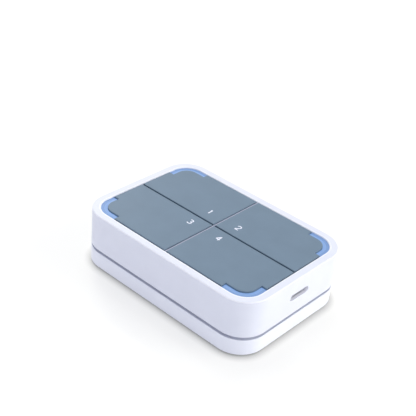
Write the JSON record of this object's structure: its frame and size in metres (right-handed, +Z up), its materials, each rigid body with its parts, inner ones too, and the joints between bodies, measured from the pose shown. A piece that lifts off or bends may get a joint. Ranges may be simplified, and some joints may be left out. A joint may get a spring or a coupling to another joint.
{
  "type": "wireless button remote",
  "caption": "Rounded white desk remote with broad hinged keys in a shared window, glowing corner strips and a charging slot in one end.",
  "frame": {"origin": "middle of the case, on the surface that its feet stand on", "axes": "+X along the case towards the charging slot, +Y towards keys 1 and 2, +Z up out of the keys"},
  "size_m": [0.086, 0.0596, 0.0243],
  "materials": {
    "white_shell": "satin, fine grain",
    "key_plastic": "matte, soft touch",
    "light_guide": "frosted, lets light through",
    "switch_body": "moulded, matte",
    "switch_plunger": "moulded, satin",
    "board_mask": "solder mask over glass cloth",
    "lamp": "clear resin over a pale frame",
    "socket_steel": "nickel plated, satin",
    "socket_tongue": "moulded, matte, pale",
    "module_mask": "dark solder mask",
    "shield_tin": "tin plated, satin",
    "chip": "moulded, matte",
    "coil": "pressed powder, matte",
    "capacitor": "ceramic with tinned ends",
    "foam": "open foam",
    "cell_foil": "laminated foil, satin",
    "header": "natural nylon",
    "plug": "natural nylon",
    "lead_red": "smooth insulation",
    "lead_black": "smooth insulation",
    "screw_steel": "zinc plated",
    "foot_rubber": "matte"
  },
  "bodies": {
    "housing": {"upper_housing": "white_shell", "bottom_cover": "white_shell", "light_guide_1": "light_guide", "tact_switch_1": "switch_body", "light_guide_2": "light_guide", "tact_switch_2": "switch_body", "light_guide_3": "light_guide", "tact_switch_3": "switch_body", "light_guide_4": "light_guide", "tact_switch_4": "switch_body", "circuit_board": "board_mask", "corner_lamps": "lamp", "charging_socket_shell": "socket_steel", "charging_socket_tongue": "socket_tongue", "radio_module": "module_mask", "shield_can": "shield_tin", "charger_chip": "chip", "power_coil": "coil", "capacitors": "capacitor", "battery_pad": "foam", "battery_cell": "cell_foil", "battery_header": "header", "battery_plug": "plug", "battery_lead_positive": "lead_red", "battery_lead_negative": "lead_black", "case_screws": "screw_steel", "board_screws": "screw_steel", "rubber_feet": "foot_rubber"},
    "key_1": {"key_1": "key_plastic"},
    "key_2": {"key_2": "key_plastic"},
    "key_3": {"key_3": "key_plastic"},
    "key_4": {"key_4": "key_plastic"},
    "switch_plunger_1": {"switch_plunger_1": "switch_plunger"},
    "switch_plunger_2": {"switch_plunger_2": "switch_plunger"},
    "switch_plunger_3": {"switch_plunger_3": "switch_plunger"},
    "switch_plunger_4": {"switch_plunger_4": "switch_plunger"}
  },
  "joints": [
    {"name": "key_1_press", "type": "hinge", "parent": "housing", "child": "key_1", "pos_m": [-0.0034, 0, 0.0189], "axis": [0, -1, 0], "range_deg": [0, 0.728], "stiffness_Nm_per_rad": 1, "springref_deg": -0.57},
    {"name": "plunger_1_slide", "type": "slide", "parent": "housing", "child": "switch_plunger_1", "axis": [0, 0, -1], "range_m": [0, 0.0003]},
    {"name": "key_2_press", "type": "hinge", "parent": "housing", "child": "key_2", "pos_m": [0.0034, 0, 0.0189], "axis": [0, 1, 0], "range_deg": [0, 0.728], "stiffness_Nm_per_rad": 1, "springref_deg": -0.57},
    {"name": "plunger_2_slide", "type": "slide", "parent": "housing", "child": "switch_plunger_2", "axis": [0, 0, -1], "range_m": [0, 0.0003]},
    {"name": "key_3_press", "type": "hinge", "parent": "housing", "child": "key_3", "pos_m": [-0.0034, 0, 0.0189], "axis": [0, -1, 0], "range_deg": [0, 0.728], "stiffness_Nm_per_rad": 1, "springref_deg": -0.57},
    {"name": "plunger_3_slide", "type": "slide", "parent": "housing", "child": "switch_plunger_3", "axis": [0, 0, -1], "range_m": [0, 0.0003]},
    {"name": "key_4_press", "type": "hinge", "parent": "housing", "child": "key_4", "pos_m": [0.0034, 0, 0.0189], "axis": [0, 1, 0], "range_deg": [0, 0.728], "stiffness_Nm_per_rad": 1, "springref_deg": -0.57},
    {"name": "plunger_4_slide", "type": "slide", "parent": "housing", "child": "switch_plunger_4", "axis": [0, 0, -1], "range_m": [0, 0.0003]}
  ],
  "couplings": [
    {"joint": "plunger_1_slide", "follows": "key_1_press", "m_per_rad": 0.0236},
    {"joint": "plunger_2_slide", "follows": "key_2_press", "m_per_rad": 0.0236},
    {"joint": "plunger_3_slide", "follows": "key_3_press", "m_per_rad": 0.0236},
    {"joint": "plunger_4_slide", "follows": "key_4_press", "m_per_rad": 0.0236}
  ]
}
